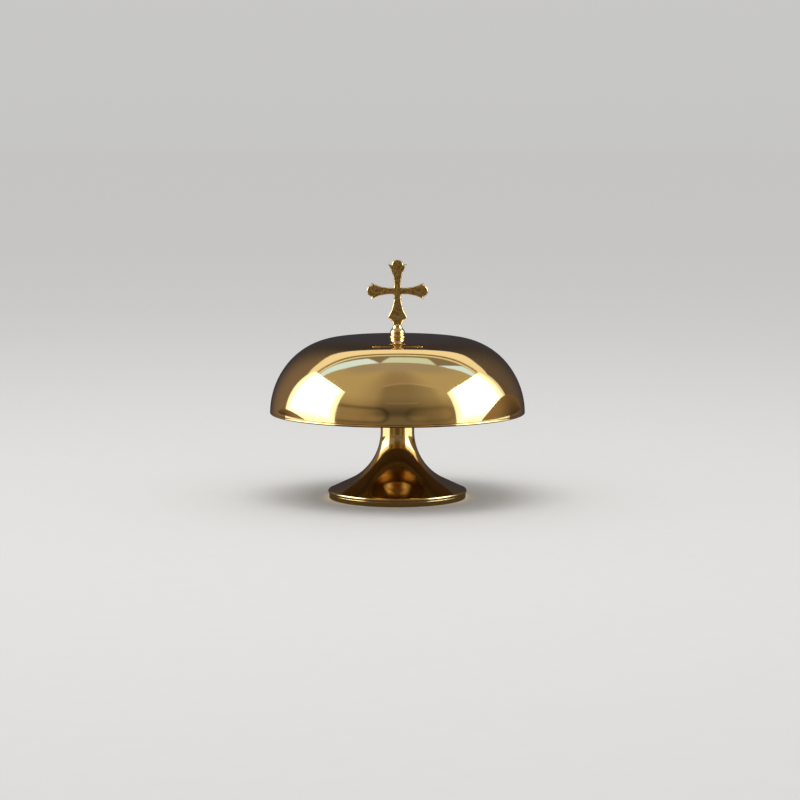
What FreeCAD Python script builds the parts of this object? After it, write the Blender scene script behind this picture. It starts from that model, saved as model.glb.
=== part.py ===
import FreeCAD, Part
import math
import os
import re
import Sketcher

# A covered ciborium: a spun trumpet foot carries a shallow dish under a wide domed lid with a cross on top.
# The frame's origin is the centre of the foot's underside, +Z is up, the cross's flat face looks along -Y,
# and sizes are in millimetres and degrees.

DIMENSIONS = {
    # the stand's spun foot: stem, flare, straight skirt and the bead rolled at its edge
    "foot_wall": 1.2,
    "stem_radius": 13.2,
    "stem_top": 58.2,
    "flare_top": 52.5,
    "flare_radius": 42.0,
    "skirt_slope": 25.3,
    "foot_radius": 54.5,
    "bead_radius": 1.45,
    "bead_inset": 1.0,
    # the base ring that closes the rolled edge
    "ring_outer": 53.7,
    "ring_inner": 49.0,
    "ring_chamfer": 0.4,
    # the seat between stem and bowl
    "collar_low": 57.0,
    "collar_lip": 14.6,
    "collar_outer": 19.0,
    "collar_band": 1.4,
    # the bowl, and the ring round its rim that the lid rests on
    "bowl_wall": 1.2,
    "bowl_radius": 97.0,
    "bowl_top": 72.5,
    "floor_tilt": 6.2,
    "knuckle_radius": 4.0,
    "knuckle_height": 70.5,
    "rim_radius": 100.0,
    "rim_low": 67.1,
    "rim_high": 69.0,
    "rim_round": 0.7,
    # the screw joint that pulls the foot up against the bowl
    "boss_radius": 9.0,
    "boss_length": 12.4,
    "boss_hole_depth": 10.4,
    "rod_radius": 3.0,
    "rod_low": 21.5,
    "rod_high": 59.0,
    "clamp_radius": 16.8,
    "clamp_top": 32.2,
    "clamp_thickness": 2.0,
    "clamp_dish": 1.2,
    "clamp_seat": 7.0,
    "spring_outer": 5.6,
    "spring_thickness": 1.5,
    "spring_arc": 350.0,
    "nut_flats": 10.0,
    "nut_height": 5.0,
    # the lid's spun dome: three tangent arcs from the crown to the upright edge
    "lid_wall": 1.2,
    "lid_radius": 100.0,
    "lid_side_radius": 61.15,
    "lid_side_tilt": 49.57,
    "lid_shoulder_radius": 54.76,
    "lid_crown_tilt": 2.87,
    "lid_crown_radius": 928.0,
    # the locating ring soldered inside the dome's edge
    "bezel_inner": 97.4,
    "bezel_lift": 0.6,
    "bezel_height": 3.6,
    "bezel_chamfer": 0.4,
    # the finial's turned pieces
    "disc_radius": 6.6,
    "disc_thickness": 0.8,
    "disc_round": 0.35,
    "knob_foot": 5.5,
    "knob_belly": 5.85,
    "knob_belly_curve": 4.2,
    "knob_belly_height": 2.1,
    "knob_neck": 3.4,
    "knob_height": 8.2,
    "knob_stud_depth": 3.4,
    "knob_tenon_depth": 3.8,
    # the flat cross
    "cross_thickness": 2.5,
    "cross_bevel": 0.3,
    "cross_centre": 26.7,
    "arm_half_width": 2.65,
    "arm_half_height": 2.5,
    "arm_corner": 1.2,
    "arm_curve": 31.0,
    "barb_reach": 21.0,
    "barb_top": 7.3,
    "barb_side": 6.6,
    "barb_foot": 7.9,
    "side_barb_reach": 20.5,
    "lobe_half": 4.5,
    "lobe_radius": 4.55,
    "lobe_drop": 0.4,
    "cross_foot": 3.2,
    "cross_foot_curve": 7.0,
    "foot_barb_height": 5.8,
    "tenon_radius": 1.2,
    "tenon_length": 3.5,
    # the finial's fastening inside the lid
    "stud_radius": 2.0,
    "stud_length": 11.0,
    "stud_rise": 3.8,
    "backing_radius": 8.0,
    "backing_thickness": 1.0,
    "cap_flats": 7.0,
    "cap_hex_height": 3.2,
    "cap_dome_radius": 3.3,
    "cap_dome_rise": 3.0,
    "cap_hole_depth": 5.2,
    # soldered and stacked faces stay this far apart, and so do threads
    "gap": 0.05,
    "thread_gap": 0.1,
}

FULL_TURN = 360
HEXAGON_SIDES = 6
CUT_THROUGH = 1  # the kind of pocket that goes right through the body

document = FreeCAD.newDocument("ciborium")
sheet = document.addObject("Spreadsheet::Sheet", "dims")
for row, (alias, value) in enumerate(DIMENSIONS.items(), start=1):
    sheet.set("A%d" % row, alias)
    sheet.set("B%d" % row, str(value))
    sheet.setAlias("B%d" % row, alias)
document.recompute()


def bound(formula):
    """A formula in the sheet's aliases, written so that another object's property can be bound to it."""
    return re.sub(r"\b([a-z]+(?:_[a-z]+)*)\b(?!\()", r"dims.\1", formula)


def value_of(formula):
    """The formula's value now."""
    return float(sheet.evalExpression(bound(formula)))


def new_body(label):
    body = document.addObject("PartDesign::Body", label)
    body.Label = label
    return body


def new_sketch(body, name, role):
    """A sketch on one of the body's own origin planes."""
    sketch = body.newObject("Sketcher::SketchObject", body.Name + "_" + name)
    plane = [feature for feature in body.Origin.OriginFeatures if feature.Role == role][0]
    sketch.AttachmentSupport = (plane, [""])
    sketch.MapMode = "FlatFace"
    return sketch


def pin(sketch, kind, *target, formula):
    """Adds a driving constraint bound to a formula."""
    index = sketch.addConstraint(Sketcher.Constraint(kind, *target, value_of(formula)))
    sketch.setExpression("Constraints[%d]" % index, bound(formula))


def arc_between(start, end, radius, turn):
    """The short arc of this radius from start to end, and whether it runs clockwise (turn -1)."""
    chord = end - start
    rise = math.sqrt(radius ** 2 - (chord.Length / 2) ** 2)
    across = FreeCAD.Vector(-chord.y, chord.x, 0).normalize()
    centre = (start + end) * 0.5 + across * rise * turn
    first, last = (start, end) if turn > 0 else (end, start)
    angle_first = math.atan2(first.y - centre.y, first.x - centre.x)
    angle_last = math.atan2(last.y - centre.y, last.x - centre.x)
    circle = Part.Circle(centre, FreeCAD.Vector(0, 0, 1), radius)
    return Part.ArcOfCircle(circle, angle_first, angle_last)


def draw(sketch, outline):
    """Draws a closed outline. Each entry is a corner (x formula, y formula). An entry with two more values,
    a radius formula and a turn, leaves its corner along an arc: turn 1 is anticlockwise, -1 is clockwise."""
    corners = [FreeCAD.Vector(value_of(entry[0]), value_of(entry[1]), 0) for entry in outline]
    starts = []
    ends = []
    for index, entry in enumerate(outline):
        start = corners[index]
        end = corners[(index + 1) % len(corners)]
        if len(entry) == 2:
            sketch.addGeometry(Part.LineSegment(start, end), False)
            starts.append(1)
            ends.append(2)
        else:
            sketch.addGeometry(arc_between(start, end, value_of(entry[2]), entry[3]), False)
            starts.append(1 if entry[3] > 0 else 2)
            ends.append(2 if entry[3] > 0 else 1)
    for index, entry in enumerate(outline):
        following = (index + 1) % len(outline)
        sketch.addConstraint(
            Sketcher.Constraint("Coincident", index, ends[index], following, starts[following]))
        pin(sketch, "DistanceX", index, starts[index], formula=entry[0])
        pin(sketch, "DistanceY", index, starts[index], formula=entry[1])
        if len(entry) > 2:
            pin(sketch, "Radius", index, formula=entry[2])


def turned(label, outline, height=None):
    """A piece turned about the vessel's axis from a half section, whose heights may count from another."""
    body = new_body(label)
    sketch = new_sketch(body, "section", "XZ_Plane")
    draw(sketch, outline)
    revolution = body.newObject("PartDesign::Revolution", label + "_turning")
    revolution.Profile = sketch
    revolution.ReferenceAxis = (sketch, ["V_Axis"])
    revolution.Angle = FULL_TURN
    if height:
        body.setExpression("Placement.Base.z", bound(height))
    return body


def pad(body, name, sketch, length, upward=True):
    feature = body.newObject("PartDesign::Pad", body.Name + "_" + name)
    feature.Profile = sketch
    feature.setExpression("Length", bound(length))
    feature.Reversed = not upward
    return feature


def hexagon(flats):
    """A hexagon's six corners, from its size across flats."""
    corner = "%s / sqrt(3)" % flats
    angles = range(0, FULL_TURN, FULL_TURN // HEXAGON_SIDES)
    return [("%s * cos(%d)" % (corner, angle), "%s * sin(%d)" % (corner, angle)) for angle in angles]


def circle(sketch, radius):
    sketch.addGeometry(Part.Circle(FreeCAD.Vector(), FreeCAD.Vector(0, 0, 1), value_of(radius)), False)
    sketch.addConstraint(Sketcher.Constraint("Coincident", 0, 3, -1, 1))
    pin(sketch, "Radius", 0, formula=radius)


def offset_height(centre, radius, distance):
    """The height of a circle centred on the axis, at a distance from the axis."""
    return "%s + sqrt((%s) ^ 2 - (%s) ^ 2)" % (centre, radius, distance)


# ---- the stand ----

FLARE_CENTRE = "(stem_radius + flare_radius)"
FLARE_END = (
    FLARE_CENTRE + " - flare_radius * sin(skirt_slope)",
    "flare_top - flare_radius * cos(skirt_slope)",
)
BEAD_CENTRE = "(foot_radius - bead_radius)"
SKIRT_END = BEAD_CENTRE + " + bead_radius * sin(skirt_slope)"


def skirt_height(distance):
    """The height of the skirt's outer face at a distance from the axis."""
    return "%s - (%s - (%s)) * tan(skirt_slope)" % (FLARE_END[1], distance, FLARE_END[0])


def skirt_underside(distance, clearance="0"):
    """The height of the skirt's inner face, less a clearance measured square to it."""
    return "%s - (foot_wall + %s) / cos(skirt_slope)" % (skirt_height(distance), clearance)


BEAD_LOW = "(%s - bead_radius * cos(skirt_slope) - bead_radius)" % skirt_height("(" + SKIRT_END + ")")
BEAD_RETURN = "(%s - bead_inset)" % BEAD_CENTRE


def make_foot():
    return turned("foot", [
        ("stem_radius - foot_wall", "stem_top"),
        ("stem_radius - foot_wall", "flare_top", "flare_radius + foot_wall", 1),
        (FLARE_CENTRE + " - (flare_radius + foot_wall) * sin(skirt_slope)",
         "flare_top - (flare_radius + foot_wall) * cos(skirt_slope)"),
        (BEAD_RETURN, skirt_underside(BEAD_RETURN)),
        (BEAD_RETURN, BEAD_LOW),
        (BEAD_CENTRE, BEAD_LOW, "bead_radius", 1),
        (SKIRT_END, skirt_height("(" + SKIRT_END + ")")),
        (*FLARE_END, "flare_radius", -1),
        ("stem_radius", "flare_top"),
        ("stem_radius", "stem_top"),
    ])


def make_foot_ring():
    """The plain band under the bead, with a tongue that fills the rolled edge."""
    tongue = "(%s - gap)" % BEAD_RETURN
    shelf = "(%s - gap)" % BEAD_LOW
    return turned("foot_ring", [
        ("ring_inner", "0"),
        ("ring_outer - ring_chamfer", "0"),
        ("ring_outer", "ring_chamfer"),
        ("ring_outer", shelf),
        (tongue, shelf),
        (tongue, skirt_underside(tongue, "gap")),
        ("ring_inner", skirt_underside("ring_inner", "gap")),
    ])


KNUCKLE_CENTRE = "(bowl_radius - knuckle_radius)"
FLOOR_RADIUS = "(%s / sin(floor_tilt) + knuckle_radius)" % KNUCKLE_CENTRE
FLOOR_CENTRE = "(knuckle_height + (%s - knuckle_radius) * cos(floor_tilt))" % FLOOR_RADIUS
FLOOR_LOW = "(%s - %s)" % (FLOOR_CENTRE, FLOOR_RADIUS)


def floor_edge(radius, knuckle):
    """Where a face of the bowl's floor meets its knuckle."""
    return (
        "%s + (%s) * sin(floor_tilt)" % (KNUCKLE_CENTRE, knuckle),
        "%s - (%s) * cos(floor_tilt)" % (FLOOR_CENTRE, radius),
    )


def make_bowl():
    inner_floor = "%s - bowl_wall" % FLOOR_RADIUS
    return turned("bowl", [
        ("0", FLOOR_LOW, FLOOR_RADIUS, 1),
        (*floor_edge(FLOOR_RADIUS, "knuckle_radius"), "knuckle_radius", 1),
        ("bowl_radius", "knuckle_height"),
        ("bowl_radius", "bowl_top"),
        ("bowl_radius - bowl_wall", "bowl_top"),
        ("bowl_radius - bowl_wall", "knuckle_height", "knuckle_radius - bowl_wall", -1),
        (*floor_edge(inner_floor, "knuckle_radius - bowl_wall"), inner_floor, -1),
        ("0", FLOOR_LOW + " + bowl_wall"),
    ])


def make_bowl_rim():
    """The ring soldered round the bowl's knuckle. Its flat top is the lid's seat."""
    hug = "(knuckle_radius + gap)"

    def against_bowl(height):
        return "%s + sqrt(%s ^ 2 - (knuckle_height - %s) ^ 2)" % (KNUCKLE_CENTRE, hug, height)

    return turned("bowl_rim", [
        (against_bowl("rim_low"), "rim_low"),
        ("rim_radius - rim_round", "rim_low", "rim_round", 1),
        ("rim_radius", "rim_low + rim_round"),
        ("rim_radius", "rim_high - rim_round", "rim_round", 1),
        ("rim_radius - rim_round", "rim_high"),
        (against_bowl("rim_high"), "rim_high", hug, -1),
    ])


def make_stem_collar():
    """A turned cove that widens from the stem's top to the bowl's underside."""
    top = "(%s - gap)" % FLOOR_LOW
    return turned("stem_collar", [
        ("boss_radius + gap", "stem_top + gap"),
        ("stem_radius + gap", "stem_top + gap"),
        ("stem_radius + gap", "collar_low"),
        ("collar_lip", "collar_low", "collar_outer - collar_lip", -1),
        ("collar_outer", top + " - collar_band"),
        ("collar_outer", top),
        ("boss_radius + gap", top),
    ])


def make_bowl_boss():
    """The socket soldered under the bowl's centre, with a blind threaded hole from below."""
    top = "(%s - gap)" % FLOOR_LOW
    low = "(%s - boss_length)" % top
    return turned("bowl_boss", [
        ("rod_radius + thread_gap", low),
        ("boss_radius", low),
        ("boss_radius", top),
        ("0", top),
        ("0", low + " + boss_hole_depth"),
        ("rod_radius + thread_gap", low + " + boss_hole_depth"),
    ])


def make_tie_rod():
    return turned("tie_rod", [
        ("0", "rod_low"),
        ("rod_radius", "rod_low"),
        ("rod_radius", "rod_high"),
        ("0", "rod_high"),
    ])


def make_clamp_washer():
    """A dished washer: its edge bears inside the trumpet and its flat centre takes the nut."""
    return turned("clamp_washer", [
        ("rod_radius + thread_gap", "-clamp_dish - clamp_thickness"),
        ("clamp_seat", "-clamp_dish - clamp_thickness"),
        ("clamp_radius", "-clamp_thickness"),
        ("clamp_radius", "0"),
        ("clamp_seat", "-clamp_dish"),
        ("rod_radius + thread_gap", "-clamp_dish"),
    ], height="clamp_top")


SPRING_LOW = "(clamp_top - clamp_dish - clamp_thickness - gap - spring_thickness)"


def make_lock_washer():
    """A split spring washer."""
    body = turned("lock_washer", [
        ("rod_radius + thread_gap", "0"),
        ("spring_outer", "0"),
        ("spring_outer", "spring_thickness"),
        ("rod_radius + thread_gap", "spring_thickness"),
    ], height=SPRING_LOW)
    body.Tip.setExpression("Angle", bound("spring_arc"))
    return body


def make_hex_nut():
    body = new_body("hex_nut")
    sides = new_sketch(body, "sides", "XY_Plane")
    draw(sides, hexagon("nut_flats"))
    pad(body, "blank", sides, "nut_height")
    thread = new_sketch(body, "thread", "XY_Plane")
    circle(thread, "rod_radius + thread_gap")
    bore = body.newObject("PartDesign::Pocket", "hex_nut_bore")
    bore.Profile = thread
    bore.Reversed = True
    bore.Type = CUT_THROUGH
    body.setExpression("Placement.Base.z", bound(SPRING_LOW + " - gap - nut_height"))
    return body


# ---- the lid ----

SIDE_CENTRE = "(lid_radius - lid_side_radius)"
SHOULDER_END = "(%s + lid_side_radius * sin(lid_side_tilt))" % SIDE_CENTRE
SHOULDER_CENTRE = "(%s - lid_shoulder_radius * sin(lid_side_tilt))" % SHOULDER_END
SHOULDER_HEIGHT = "(rim_low + (lid_side_radius - lid_shoulder_radius) * cos(lid_side_tilt))"
CROWN_CENTRE = "(%s + (lid_shoulder_radius - lid_crown_radius) * cos(lid_crown_tilt))" % SHOULDER_HEIGHT
LID_TOP = "(%s + lid_crown_radius)" % CROWN_CENTRE
STUD_HOLE = "(stud_radius + thread_gap)"


def lid_side(inset, height):
    """The distance from the axis of the dome's side, inset from its outer face, at a height."""
    return "%s + sqrt((lid_side_radius - (%s)) ^ 2 - (%s - rim_low) ^ 2)" % (SIDE_CENTRE, inset, height)


def make_lid():
    """Outer and inner faces are the same three arcs, one wall apart."""

    def corners(inset):
        side = (
            "%s + (lid_side_radius - %s) * sin(lid_side_tilt)" % (SIDE_CENTRE, inset),
            "rim_low + (lid_side_radius - %s) * cos(lid_side_tilt)" % inset,
        )
        shoulder = (
            "%s + (lid_shoulder_radius - %s) * sin(lid_crown_tilt)" % (SHOULDER_CENTRE, inset),
            "%s + (lid_shoulder_radius - %s) * cos(lid_crown_tilt)" % (SHOULDER_HEIGHT, inset),
        )
        hole = (STUD_HOLE, offset_height(CROWN_CENTRE, "lid_crown_radius - %s" % inset, STUD_HOLE))
        return side, shoulder, hole

    outer_side, outer_shoulder, outer_hole = corners("0")
    inner_side, inner_shoulder, inner_hole = corners("lid_wall")
    return turned("lid", [
        (lid_side("lid_wall", "rim_high"), "rim_high"),
        (lid_side("0", "rim_high"), "rim_high", "lid_side_radius", 1),
        (*outer_side, "lid_shoulder_radius", 1),
        (*outer_shoulder, "lid_crown_radius", 1),
        outer_hole,
        (*inner_hole, "lid_crown_radius - lid_wall", -1),
        (*inner_shoulder, "lid_shoulder_radius - lid_wall", -1),
        (*inner_side, "lid_side_radius - lid_wall", -1),
    ])


def make_lid_bezel():
    low = "(rim_high + bezel_lift)"
    high = "(rim_high + bezel_lift + bezel_height)"
    outer = "(lid_wall + gap)"
    return turned("lid_bezel", [
        ("bezel_inner + bezel_chamfer", low),
        (lid_side(outer, low), low, "lid_side_radius - " + outer, 1),
        (lid_side(outer, high), high),
        ("bezel_inner", high),
        ("bezel_inner", low + " + bezel_chamfer"),
    ])


def make_finial_collar():
    return turned("finial_collar", [
        (STUD_HOLE, "0"),
        ("disc_radius - disc_round", "0", "disc_round", 1),
        ("disc_radius", "disc_round"),
        ("disc_radius", "disc_thickness - disc_round", "disc_round", 1),
        ("disc_radius - disc_round", "disc_thickness"),
        (STUD_HOLE, "disc_thickness"),
    ], height=LID_TOP)


BELLY_CENTRE = "(knob_belly - knob_belly_curve)"
BELLY_TO_NECK = "(knob_neck - %s)" % BELLY_CENTRE
NECK_CURVE = "((%s ^ 2 + (knob_height - knob_belly_height) ^ 2 - knob_belly_curve ^ 2)" % BELLY_TO_NECK
NECK_CURVE += " / (2 * (knob_belly_curve - %s)))" % BELLY_TO_NECK
KNOB_LOW = "(%s + disc_thickness)" % LID_TOP


def make_finial_knob():
    """A turned knob: a round belly that a tangent hollow draws in to the neck, bored from both ends."""
    share = "(knob_belly_curve / (knob_belly_curve + %s))" % NECK_CURVE
    meeting = (
        "%s + (%s + %s) * %s" % (BELLY_CENTRE, BELLY_TO_NECK, NECK_CURVE, share),
        "knob_belly_height + (knob_height - knob_belly_height) * %s" % share,
    )
    foot_height = "knob_belly_height - sqrt(knob_belly_curve ^ 2 - (knob_foot - %s) ^ 2)" % BELLY_CENTRE
    return turned("finial_knob", [
        (STUD_HOLE, "0"),
        ("knob_foot", "0"),
        ("knob_foot", foot_height, "knob_belly_curve", 1),
        (*meeting, NECK_CURVE, -1),
        ("knob_neck", "knob_height"),
        ("tenon_radius + gap", "knob_height"),
        ("tenon_radius + gap", "knob_height - knob_tenon_depth"),
        ("0", "knob_height - knob_tenon_depth"),
        ("0", "knob_stud_depth"),
        (STUD_HOLE, "knob_stud_depth"),
    ], height=KNOB_LOW)


def cross_half():
    """The cross's right half from its foot to the top lobe: three flared arms with barbs and round lobes."""
    top = "cross_centre"
    return [
        ("cross_foot", "0", "cross_foot_curve", -1),
        ("barb_foot", "foot_barb_height", "arm_curve", -1),
        ("arm_half_width", top + " - arm_half_height - arm_corner", "arm_corner", -1),
        ("arm_half_width + arm_corner", top + " - arm_half_height", "arm_curve", -1),
        ("side_barb_reach", top + " - barb_side"),
        ("side_barb_reach - lobe_drop", top + " - lobe_half", "lobe_radius", 1),
        ("side_barb_reach - lobe_drop", top + " + lobe_half"),
        ("side_barb_reach", top + " + barb_side", "arm_curve", -1),
        ("arm_half_width + arm_corner", top + " + arm_half_height", "arm_corner", -1),
        ("arm_half_width", top + " + arm_half_height + arm_corner", "arm_curve", -1),
        ("barb_top", top + " + barb_reach"),
        ("lobe_half", top + " + barb_reach - lobe_drop", "lobe_radius", 1),
    ]


def make_finial_cross():
    """A flat plate cut to the cross's outline, bevelled all round, on a round tenon."""
    right = cross_half()
    left = []
    for index in range(len(right) - 1, -1, -1):
        corner = ("-(%s)" % right[index][0], right[index][1])
        curve = right[index - 1][2:] if index > 0 else ()
        left.append(corner + curve)
    body = new_body("finial_cross")
    plate = new_sketch(body, "plate", "XZ_Plane")
    draw(plate, right + left)
    blank = pad(body, "blank", plate, "cross_thickness")
    blank.SideType = "Symmetric"
    document.recompute()
    face_edges = [
        "Edge%d" % (index + 1)
        for index, edge in enumerate(blank.Shape.Edges)
        if edge.BoundBox.YLength < value_of("cross_thickness / 2")
    ]
    bevel = body.newObject("PartDesign::Chamfer", "finial_cross_bevel")
    bevel.Base = (blank, face_edges)
    bevel.setExpression("Size", bound("cross_bevel"))
    peg = new_sketch(body, "peg", "XY_Plane")
    circle(peg, "tenon_radius")
    pad(body, "tenon", peg, "tenon_length", upward=False)
    body.setExpression("Placement.Base.z", bound(KNOB_LOW + " + knob_height"))
    return body


def make_finial_stud():
    return turned("finial_stud", [
        ("0", "0"),
        ("stud_radius", "0"),
        ("stud_radius", "stud_length"),
        ("0", "stud_length"),
    ], height=LID_TOP + " + stud_rise - stud_length")


BACKING_LOW = "(%s - lid_wall - gap - backing_thickness)" % LID_TOP


def make_finial_washer():
    return turned("finial_washer", [
        (STUD_HOLE, "0"),
        ("backing_radius", "0"),
        ("backing_radius", "backing_thickness"),
        (STUD_HOLE, "backing_thickness"),
    ], height=BACKING_LOW)


def make_finial_nut():
    """A domed nut, its closed end down."""
    body = new_body("finial_nut")
    sides = new_sketch(body, "sides", "XY_Plane")
    draw(sides, hexagon("cap_flats"))
    pad(body, "hexagon", sides, "cap_hex_height", upward=False)
    section = new_sketch(body, "cap", "XZ_Plane")
    dome_curve = "((cap_dome_radius ^ 2 + cap_dome_rise ^ 2) / (2 * cap_dome_rise))"
    draw(section, [
        ("0", "-cap_hex_height - cap_dome_rise", dome_curve, 1),
        ("cap_dome_radius", "-cap_hex_height"),
        ("0", "-cap_hex_height"),
    ])
    cap = body.newObject("PartDesign::Revolution", "finial_nut_cap")
    cap.Profile = section
    cap.ReferenceAxis = (section, ["V_Axis"])
    cap.Angle = FULL_TURN
    thread = new_sketch(body, "thread", "XY_Plane")
    circle(thread, STUD_HOLE)
    bore = body.newObject("PartDesign::Pocket", "finial_nut_bore")
    bore.Profile = thread
    bore.setExpression("Length", bound("cap_hole_depth"))
    body.setExpression("Placement.Base.z", bound(BACKING_LOW + " - gap"))
    return body


MAKERS = [
    make_foot, make_foot_ring, make_stem_collar, make_bowl, make_bowl_rim, make_bowl_boss,
    make_tie_rod, make_clamp_washer, make_lock_washer, make_hex_nut,
    make_lid, make_lid_bezel, make_finial_collar, make_finial_knob, make_finial_cross,
    make_finial_stud, make_finial_washer, make_finial_nut,
]
pieces = [maker() for maker in MAKERS]
document.recompute()

for item in document.Objects:
    if "Invalid" in item.State or "Error" in item.State:
        raise RuntimeError("%s did not build: %s" % (item.Name, item.State))
for piece in pieces:
    if piece.Shape.isNull() or not piece.Shape.isValid() or len(piece.Shape.Solids) != 1:
        raise RuntimeError("%s is not one valid solid" % piece.Label)

os.makedirs("parts", exist_ok=True)
for piece in pieces:
    piece.Shape.exportStep("parts/%s.step" % piece.Label)
    box = piece.Shape.BoundBox
    print("%-14s x %8.3f %8.3f  z %8.3f %8.3f  volume %10.1f" % (
        piece.Label, box.XMin, box.XMax, box.ZMin, box.ZMax, piece.Shape.Volume))
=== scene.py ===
import math

import bpy
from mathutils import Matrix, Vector


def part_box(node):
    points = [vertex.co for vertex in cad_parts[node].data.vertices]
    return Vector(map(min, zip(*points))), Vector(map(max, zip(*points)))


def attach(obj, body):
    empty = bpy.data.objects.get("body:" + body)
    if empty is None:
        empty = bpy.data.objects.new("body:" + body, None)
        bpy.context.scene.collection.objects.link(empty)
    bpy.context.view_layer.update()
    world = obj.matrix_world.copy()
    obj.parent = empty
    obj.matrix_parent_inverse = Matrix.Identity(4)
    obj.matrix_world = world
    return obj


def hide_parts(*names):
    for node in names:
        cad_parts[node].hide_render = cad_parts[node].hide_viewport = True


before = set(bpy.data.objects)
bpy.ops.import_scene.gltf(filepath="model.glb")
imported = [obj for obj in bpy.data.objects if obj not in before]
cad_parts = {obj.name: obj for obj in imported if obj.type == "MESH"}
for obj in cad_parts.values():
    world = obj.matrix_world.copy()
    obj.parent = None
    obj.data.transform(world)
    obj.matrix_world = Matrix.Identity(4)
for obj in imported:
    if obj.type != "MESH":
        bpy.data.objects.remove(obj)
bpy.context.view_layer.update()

# Lengths are metres. MM turns the vessel's own dimensions, which are in millimetres, into metres.
MM = 0.001
AROUND = 288            # flat facets in one full turn of a turned piece
ARC_STEP = math.radians(1.5)
LONGEST_STEP = 4 * MM
ROUND_STEPS = 6         # facets across a rounded edge
ON_AXIS = 1e-7          # a point this near the axis is on it
FULL_TURN = 2 * math.pi


def low(node):
    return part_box(node)[0].z


def high(node):
    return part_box(node)[1].z


def reach(node):
    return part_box(node)[1].x


def sizes(node):
    """How far a turned node reaches from the axis, and its bottom and top."""
    return reach(node), low(node), high(node)


# ---------------------------------------------------------------- camera

IMAGE_SIDE = 800
FOCAL_PIXELS = 2700.0       # the lens's focal length: how strongly the picture foreshortens
PIXEL_SIZE = 0.7855 * MM    # one pixel at the rim's centre
CAMERA_ELEVATION = math.radians(6.68)
AIM_RIGHT = 2.0 * MM
AIM_UP = 9.9 * MM
SENSOR = 36.0
NEAREST, FARTHEST = 0.05, 60.0


def make_camera():
    data = bpy.data.cameras.new("camera")
    data.sensor_width = SENSOR
    data.lens = SENSOR * FOCAL_PIXELS / IMAGE_SIDE
    data.clip_start, data.clip_end = NEAREST, FARTHEST
    camera = bpy.data.objects.new("camera", data)
    bpy.context.scene.collection.objects.link(camera)
    rim_centre = Vector((0, 0, low("bowl_rim")))
    back = Vector((0, -math.cos(CAMERA_ELEVATION), math.sin(CAMERA_ELEVATION)))
    up = Vector((0, math.sin(CAMERA_ELEVATION), math.cos(CAMERA_ELEVATION)))
    camera.location = rim_centre + back * FOCAL_PIXELS * PIXEL_SIZE
    target = rim_centre + Vector((AIM_RIGHT, 0, 0)) + up * AIM_UP
    camera.rotation_mode = "QUATERNION"
    camera.rotation_quaternion = (target - camera.location).to_track_quat("-Z", "Y")
    bpy.context.scene.camera = camera


# ---------------------------------------------------------------- outlines

def at(x, y, curve=0.0, turn=1, rounded=0.0, finish=0):
    """An outline's corner. With a curve, an arc of that radius leaves it: turn 1 is anticlockwise, -1 is
    clockwise. The corner itself may be rounded. finish picks the material of the stretch that leaves it."""
    return {"point": Vector((x, y)), "curve": curve, "turn": turn, "rounded": rounded, "finish": finish}


def left_of(vector):
    return Vector((-vector.y, vector.x))


class Stretch:
    """One line or arc of an outline, walked with the solid on its left."""

    def __init__(self, start, end, curve, turn, finish):
        self.start, self.end, self.curve, self.turn, self.finish = start, end, curve, turn, finish
        chord = end - start
        if curve:
            rise = math.sqrt(max(curve ** 2 - (chord.length / 2) ** 2, 0.0))
            self.centre = (start + end) / 2 + left_of(chord).normalized() * rise * turn
            first = self.start - self.centre
            last = self.end - self.centre
            self.first_angle = math.atan2(first.y, first.x)
            self.sweep = (math.atan2(last.y, last.x) - self.first_angle) % FULL_TURN
            if turn < 0:
                self.sweep -= FULL_TURN
            self.length = abs(self.sweep) * curve
        else:
            self.length = chord.length

    def sample(self, distance):
        """The point at a distance along the stretch, and the outward normal there."""
        if not self.curve:
            along = (self.end - self.start).normalized()
            return self.start + along * distance, -left_of(along)
        angle = self.first_angle + self.sweep * distance / self.length
        spoke = Vector((math.cos(angle), math.sin(angle)))
        return self.centre + spoke * self.curve, spoke * self.turn

    def steps(self, trimmed):
        count = math.ceil(trimmed / LONGEST_STEP)
        if self.curve:
            count = max(count, math.ceil(trimmed / self.curve / ARC_STEP))
        return max(count, 1)


def walk(corners):
    """The outline as runs of (point, outward normal), one for each stretch and each rounded corner."""
    count = len(corners)
    stretches = [
        Stretch(c["point"], corners[(i + 1) % count]["point"], c["curve"], c["turn"], c["finish"])
        for i, c in enumerate(corners)
    ]
    trims = []
    for i, corner in enumerate(corners):
        before = stretches[i - 1].sample(stretches[i - 1].length)[1]
        after = stretches[i].sample(0.0)[1]
        bend = before.angle(after) if corner["rounded"] else 0.0
        trims.append(corner["rounded"] * math.tan(bend / 2))
    runs = []
    for i, stretch in enumerate(stretches):
        if trims[i]:
            run = round_corner(stretches[i - 1], stretch, trims[i], corners[i]["rounded"])
            runs.append((run, stretch.finish))
        first, last = trims[i], stretch.length - trims[(i + 1) % count]
        steps = stretch.steps(last - first)
        run = [stretch.sample(first + (last - first) * k / steps) for k in range(steps + 1)]
        runs.append((run, stretch.finish))
    return runs


def round_corner(before, after, trim, radius):
    """A rounded corner: a curve that leaves one stretch and joins the next without a kink."""
    start, start_normal = before.sample(before.length - trim)
    end, end_normal = after.sample(trim)
    bend = start_normal.angle(end_normal)
    handle = 4 / 3 * math.tan(bend / 4) * radius
    first = start + left_of(start_normal) * handle
    last = end - left_of(end_normal) * handle
    run = []
    for k in range(ROUND_STEPS + 1):
        t = k / ROUND_STEPS
        ends = start * (1 - t) ** 3 + end * t ** 3
        handles = first * 3 * t * (1 - t) ** 2 + last * 3 * t ** 2 * (1 - t)
        normal = start_normal * math.sin((1 - t) * bend) + end_normal * math.sin(t * bend)
        run.append((ends + handles, normal / math.sin(bend)))
    return run


# ---------------------------------------------------------------- meshes

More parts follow.
